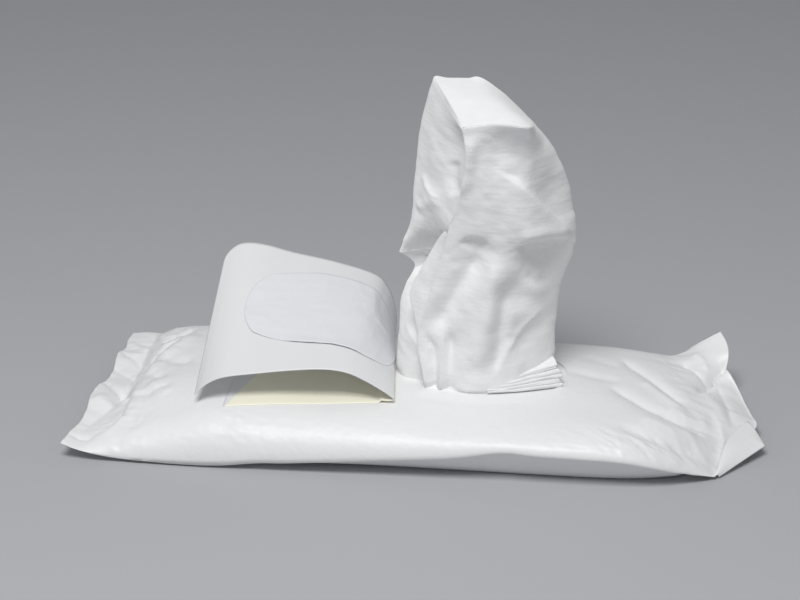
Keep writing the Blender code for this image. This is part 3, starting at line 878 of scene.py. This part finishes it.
def return_layer():
    """A ruled strip between its two edges, bellied a little towards the viewer."""
    left, right = smooth_curve(RETURN_LEFT, 12), smooth_curve(RETURN_RIGHT, 12)
    share = np.linspace(0, 1, 30)[None, :, None]
    grid = left[:, None] * (1 - share) + right[:, None] * share
    belly = np.sin(np.pi * share[..., 0]) * 0.8
    grid[..., 1] -= belly + 0.35 * value_noise(grid[..., 0] / 3, grid[..., 2] / 5, 35)
    return grid


def top_strip(front, back, rows):
    """Straight lines from the front fold to the back fold, bowed up very slightly."""
    share = np.linspace(0, 1, rows + 2)[1:-1, None, None]
    bow = np.sin(np.pi * share) * np.array([0, -0.3, 0.4])
    return front[None] * (1 - share) + back[None] * share + bow


def make_wipe():
    """The hood, closed over the top by its folded strip, with the return layer."""
    grid = wipe_grid()
    rows, cols = grid.shape[:2]
    step = (cols - 1) // 9
    half, end = 7 * step // 2, 7 * step
    index = np.arange(rows * cols).reshape(rows, cols)
    first, last, turn = index[-1, 1:half], index[-1, end - 1:half:-1], index[-1, half]
    strip = top_strip(grid[-1, 1:half], grid[-1, end - 1:half:-1], 2 * step - 1)
    inner = np.arange(strip.shape[0] * (half - 1)).reshape(-1, half - 1) + rows * cols
    side = index[-1, end:]
    net = np.column_stack([side[::-1], np.concatenate([first[None], inner, last[None]])])
    quads = np.stack([net[:-1, :-1], net[1:, :-1], net[1:, 1:], net[:-1, 1:]], -1).reshape(-1, 4)
    closing = np.stack([net[:-1, -1], net[1:, -1], np.full(len(net) - 1, turn)], -1)
    layer = return_layer()
    layer_quads = grid_quads(*layer.shape[:2])[:, ::-1] + rows * cols + strip.shape[0] * (half - 1)
    points = np.concatenate([part.reshape(-1, 3) for part in (grid, strip, layer)])
    fours = np.concatenate([grid_quads(rows, cols)[:, ::-1], quads, layer_quads])
    faces = np.empty(len(fours) + len(closing), object)
    faces[:] = fours.tolist() + closing.tolist()
    piece = add_piece("pulled_wipe_sheet", points, faces)
    mark_top_folds(piece, np.concatenate([side[-1:], first, [turn], last[::-1], side]))
    thicken(piece, 0.35)
    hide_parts("pulled_wipe")
    return piece


def mark_top_folds(piece, loop):
    """The strip's folds are pressed sharp, so shading breaks along them."""
    edges = {tuple(sorted(pair)) for pair in zip(loop[:-1].tolist(), loop[1:].tolist())}
    sharp = [tuple(sorted(edge.vertices)) in edges for edge in piece.data.edges]
    attribute = piece.data.attributes.new("sharp_edge", "BOOLEAN", "EDGE")
    attribute.data.foreach_set("value", sharp)


def mesh_area(piece):
    """Area of a mesh in square metres, before it is given its thickness."""
    areas = np.empty(len(piece.data.polygons))
    piece.data.polygons.foreach_get("area", areas)
    return float(areas.sum())


wipe = make_wipe()
wipe_area = mesh_area(wipe)
print(f"the pulled wipe shows {wipe_area * 1e4:.0f} square cm of cloth")


# %% [markdown]
# ## The next wipe
#
# Pulling one wipe drags the edge of the next one up after it.  It shows as a small fan
# of folded layers beside the first: one profile with four rounded steps, carried from
# the middle of the mouth to its right end.

# %% The next wipe
FAN_SPINE = [(23.0, -15.8, 22.0), (31, -12.8, 23.2), (39, -9.0, 24.6), (47.2, -4.8, 25.6)]
FAN_STEPS = 5


def step_profile(steps, points=9):
    """Rounded stairs of unit rise, in (depth, height): each fold bulges a little forward."""
    turn = np.linspace(np.pi / 2, -np.pi / 2, points)
    bulge = np.stack([-0.14 * np.cos(turn), 0.5 * np.sin(turn)], -1)
    folds = [bulge + (-0.75 * k, -k) for k in range(steps)]
    return np.concatenate([[(6.0, 1.2), (2.5, 0.9)]] + folds)


def make_next_wipe():
    """The stairs swept along the spine, rising and spreading towards the right."""
    profile = step_profile(FAN_STEPS)[None]
    spine = smooth_curve(FAN_SPINE, 24)
    share = np.linspace(0, 1, len(spine))[:, None]
    spread = 0.55 + 0.85 * share
    wander = 0.30 * value_noise(share * 5, profile[..., 1] * 0.9, 41)
    depth = profile[..., 0] * spread + wander
    rise = profile[..., 1] * (0.58 + 0.82 * share)
    along = np.array([0.90, 0.43])
    x = spine[:, :1] - depth * along[1] + 0.8 * share * value_noise(profile[..., 1] * 1.1, share, 43)
    y = spine[:, 1:2] + depth * along[0]
    z = np.maximum(spine[:, 2:] + rise, film_table(x, y) + 0.25)
    points = np.stack([x, y, z], -1)
    piece = add_piece("next_wipe_folds", points, grid_quads(*points.shape[:2])[:, ::-1])
    thicken(piece, 0.3)
    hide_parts("next_wipe")
    return piece


next_wipe = make_next_wipe()
next_area = mesh_area(next_wipe)


# %% [markdown]
# ## Finishes
#
# Four white things lie side by side here, so they must differ in how they take light.
# The pouch film is glossy and broken by creases, the label is satin, the die-cut film is
# between the two, and the damp cloth is matt with a fibrous grain.

# %% Finish tools
def linear(code):
    """An sRGB hex colour such as F3F3F1, as linear RGBA."""
    srgb = np.array([int(code[i:i + 2], 16) for i in (0, 2, 4)]) / 255
    value = np.where(srgb <= 0.04045, srgb / 12.92, ((srgb + 0.055) / 1.055) ** 2.4)
    return (*value.tolist(), 1.0)


def new_finish(name, code, roughness, ior):
    """A material with its Principled shader set to a plain colour."""
    mat = bpy.data.materials.new(name)
    mat.use_nodes = True
    shader = mat.node_tree.nodes["Principled BSDF"]
    shader.inputs["Base Color"].default_value = linear(code)
    shader.inputs["Roughness"].default_value = roughness
    shader.inputs["IOR"].default_value = ior
    return mat, shader


def node(mat, kind, links=None, **settings):
    """Adds a node.  Settings are its properties or inputs; links feed its inputs."""
    made = mat.node_tree.nodes.new(kind)
    for key, value in settings.items():
        if hasattr(made, key):
            setattr(made, key, value)
        else:
            made.inputs[key.replace("_", " ")].default_value = value
    for key, source in (links or {}).items():
        mat.node_tree.links.new(source, made.inputs[key])
    return made


def plug(mat, source, socket):
    """Links an output to an input."""
    mat.node_tree.links.new(source, socket)


def wear(piece, mat):
    """Gives a piece its finish."""
    piece.data.materials.clear()
    piece.data.materials.append(mat)


# %% [markdown]
# ### Polyethylene film
#
# Blown polyethylene, white pigmented and wrapped tight.  It gives the eye a soft gloss
# with fine tremors in the highlights, from creases of 2 to 6 mm that are too shallow to
# model, and a slight tint where it lies over damp cloth.

# %% Polyethylene film
def film_finish(name, code, tint_code, roughness, strength):
    """Glossy film: two sizes of tremor in its bump, and a slow drift between two whites."""
    mat, shader = new_finish(name, code, roughness, 1.51)
    place = node(mat, "ShaderNodeTexCoord").outputs["Object"]
    broad = node(mat, "ShaderNodeTexNoise", {"Vector": place}, Scale=90.0, Detail=3.0)
    fine = node(mat, "ShaderNodeTexNoise", {"Vector": place}, Scale=420.0, Detail=2.0)
    both = node(mat, "ShaderNodeMath", {0: broad.outputs["Fac"], 1: fine.outputs["Fac"]}, operation="ADD")
    bump = node(mat, "ShaderNodeBump", {"Height": both.outputs[0]}, Strength=strength, Distance=0.0006)
    plug(mat, bump.outputs["Normal"], shader.inputs["Normal"])
    tint = node(mat, "ShaderNodeTexNoise", {"Vector": place}, Scale=28.0, Detail=2.0)
    mix = node(mat, "ShaderNodeMix", {"Factor": tint.outputs["Fac"]}, data_type="RGBA")
    mix.inputs["A"].default_value = linear(code)
    mix.inputs["B"].default_value = linear(tint_code)
    plug(mat, mix.outputs["Result"], shader.inputs["Base Color"])
    return mat


pouch_finish = film_finish("white_polyethylene_film", "F2F2F1", "EAEBEC", 0.42, 0.22)
for piece in (pouch, seal_fold):
    wear(piece, pouch_finish)
wear(flap, film_finish("die_cut_polyethylene_film", "E9E9EC", "E5E6E9", 0.36, 0.16))


# %% [markdown]
# ### Label film
#
# A satin polypropylene label.  Its sticky side, now on top, is plain white; the stuck
# run carries a pale yellow printed field that shows under the arch.

# %% Label film
# The printed field's two ends along the label, how soft its edges are, and how far its
# left edge leans over each mm of the label's width.
YELLOW_LEFT, YELLOW_RIGHT = 1.0, 56.0
LEFT_SOFT, RIGHT_SOFT = 0.3, 0.4
YELLOW_SLANT = 0.30


def label_finish():
    """Satin label film with the yellow field placed on it by the label's own map."""
    mat, shader = new_finish("satin_polypropylene_label", "E6E7E8", 0.42, 1.49)
    uv = node(mat, "ShaderNodeUVMap", uv_map="UVMap").outputs["UV"]
    parts = node(mat, "ShaderNodeSeparateXYZ", {"Vector": uv})
    slant = node(mat, "ShaderNodeMath", {0: parts.outputs["Y"]}, operation="MULTIPLY")
    slant.inputs[1].default_value = -YELLOW_SLANT
    shifted = node(mat, "ShaderNodeMath", {0: parts.outputs["X"], 1: slant.outputs[0]}, operation="ADD")
    start = node(mat, "ShaderNodeMapRange", {"Value": shifted.outputs[0]}, clamp=True)
    start.inputs["From Min"].default_value = (YELLOW_LEFT - LEFT_SOFT) / UV_SPAN
    start.inputs["From Max"].default_value = (YELLOW_LEFT + LEFT_SOFT) / UV_SPAN
    stop = node(mat, "ShaderNodeMapRange", {"Value": parts.outputs["X"]}, clamp=True)
    stop.inputs["From Min"].default_value = (YELLOW_RIGHT + RIGHT_SOFT) / UV_SPAN
    stop.inputs["From Max"].default_value = (YELLOW_RIGHT - RIGHT_SOFT) / UV_SPAN
    field = node(mat, "ShaderNodeMath", {0: start.outputs[0], 1: stop.outputs[0]}, operation="MULTIPLY")
    mix = node(mat, "ShaderNodeMix", {"Factor": field.outputs[0]}, data_type="RGBA")
    mix.inputs["A"].default_value = linear("E6E7E8")
    mix.inputs["B"].default_value = linear("F8F5E1")
    plug(mat, mix.outputs["Result"], shader.inputs["Base Color"])
    place = node(mat, "ShaderNodeTexCoord").outputs["Object"]
    haze = node(mat, "ShaderNodeTexNoise", {"Vector": place}, Scale=260.0, Detail=3.0)
    bump = node(mat, "ShaderNodeBump", {"Height": haze.outputs["Fac"]}, Strength=0.05, Distance=0.0005)
    plug(mat, bump.outputs["Normal"], shader.inputs["Normal"])
    return mat


wear(label, label_finish())


# %% [markdown]
# ### Spunlace nonwoven
#
# Viscose and polyester fibres tangled by water jets: matt, faintly ribbed across the
# cloth at about 1.2 mm, with a random fibre grain that is drawn at 0.5 mm so that it
# shows.  Damp cloth is a touch translucent, which a little sheen stands in for.

# %% Spunlace nonwoven
def cloth_finish():
    """Matt cloth: fibre grain and ribs in its bump, a mottle in its white, a little sheen."""
    mat, shader = new_finish("spunlace_nonwoven", "F4F4F3", 0.88, 1.47)
    shader.inputs["Sheen Weight"].default_value = 0.25
    shader.inputs["Sheen Roughness"].default_value = 0.6
    place = node(mat, "ShaderNodeTexCoord").outputs["Object"]
    fibre = node(mat, "ShaderNodeTexNoise", {"Vector": place}, Scale=900.0, Detail=3.0)
    stretch = node(mat, "ShaderNodeMapping", {"Vector": place})
    stretch.inputs["Scale"].default_value = (110.0, 110.0, 820.0)
    rib = node(mat, "ShaderNodeTexNoise", {"Vector": stretch.outputs[0]}, Scale=1.0, Detail=2.0)
    both = node(mat, "ShaderNodeMath", {0: fibre.outputs["Fac"], 1: rib.outputs["Fac"]}, operation="ADD")
    bump = node(mat, "ShaderNodeBump", {"Height": both.outputs[0]}, Strength=0.30, Distance=0.0004)
    plug(mat, bump.outputs["Normal"], shader.inputs["Normal"])
    mottle = node(mat, "ShaderNodeTexNoise", {"Vector": place}, Scale=160.0, Detail=4.0)
    mix = node(mat, "ShaderNodeMix", {"Factor": mottle.outputs["Fac"]}, data_type="RGBA")
    mix.inputs["A"].default_value = linear("F7F7F6")
    mix.inputs["B"].default_value = linear("E9EAEB")
    plug(mat, mix.outputs["Result"], shader.inputs["Base Color"])
    return mat


nonwoven = cloth_finish()
for piece in (wipe, next_wipe, stack):
    wear(piece, nonwoven)


# %% [markdown]
# ## Studio
#
# A plain pale floor, one soft light above and a little in front, and a weak one low in
# front for the shaded underside.  The floor is a shade darker than the pack, so that
# white film and white cloth stand out against it.

# %% Studio
def add_floor():
    """A wide matt floor at the height that the pack lies on."""
    size = 3.0
    mesh = bpy.data.meshes.new("floor")
    mesh.from_pydata([(-size, -size, 0), (size, -size, 0), (size, size, 0), (-size, size, 0)],
                     [], [(0, 1, 2, 3)])
    floor = bpy.data.objects.new("floor", mesh)
    bpy.context.scene.collection.objects.link(floor)
    mat, _ = new_finish("matt_floor", "B4B5B8", 0.9, 1.45)
    mesh.materials.append(mat)


def add_softbox(name, place, aim, size, power):
    """A rectangular lamp in metres and watts, turned to face its aim."""
    data = bpy.data.lights.new(name, "AREA")
    data.shape = "RECTANGLE"
    data.size, data.size_y = size
    data.energy = power
    lamp = bpy.data.objects.new(name, data)
    lamp.location = place
    lamp.rotation_euler = (Vector(aim) - Vector(place)).to_track_quat("-Z", "Y").to_euler()
    bpy.context.scene.collection.objects.link(lamp)


def add_world():
    """An even pale sky that fills the shadows."""
    world = bpy.data.worlds.new("studio")
    world.use_nodes = True
    sky = world.node_tree.nodes["Background"]
    sky.inputs["Color"].default_value = linear("F2F4F8")
    sky.inputs["Strength"].default_value = 0.32
    bpy.context.scene.world = world


add_floor()
add_world()
add_softbox("key_softbox", (-0.06, -0.49, 0.88), (0.0, 0.0, 0.04), (0.42, 0.34), 6.4)
add_softbox("front_softbox", (0.05, -1.0, 0.16), (0.0, 0.0, 0.03), (0.7, 0.2), 0.3)
bpy.context.scene.view_settings.view_transform = "Standard"
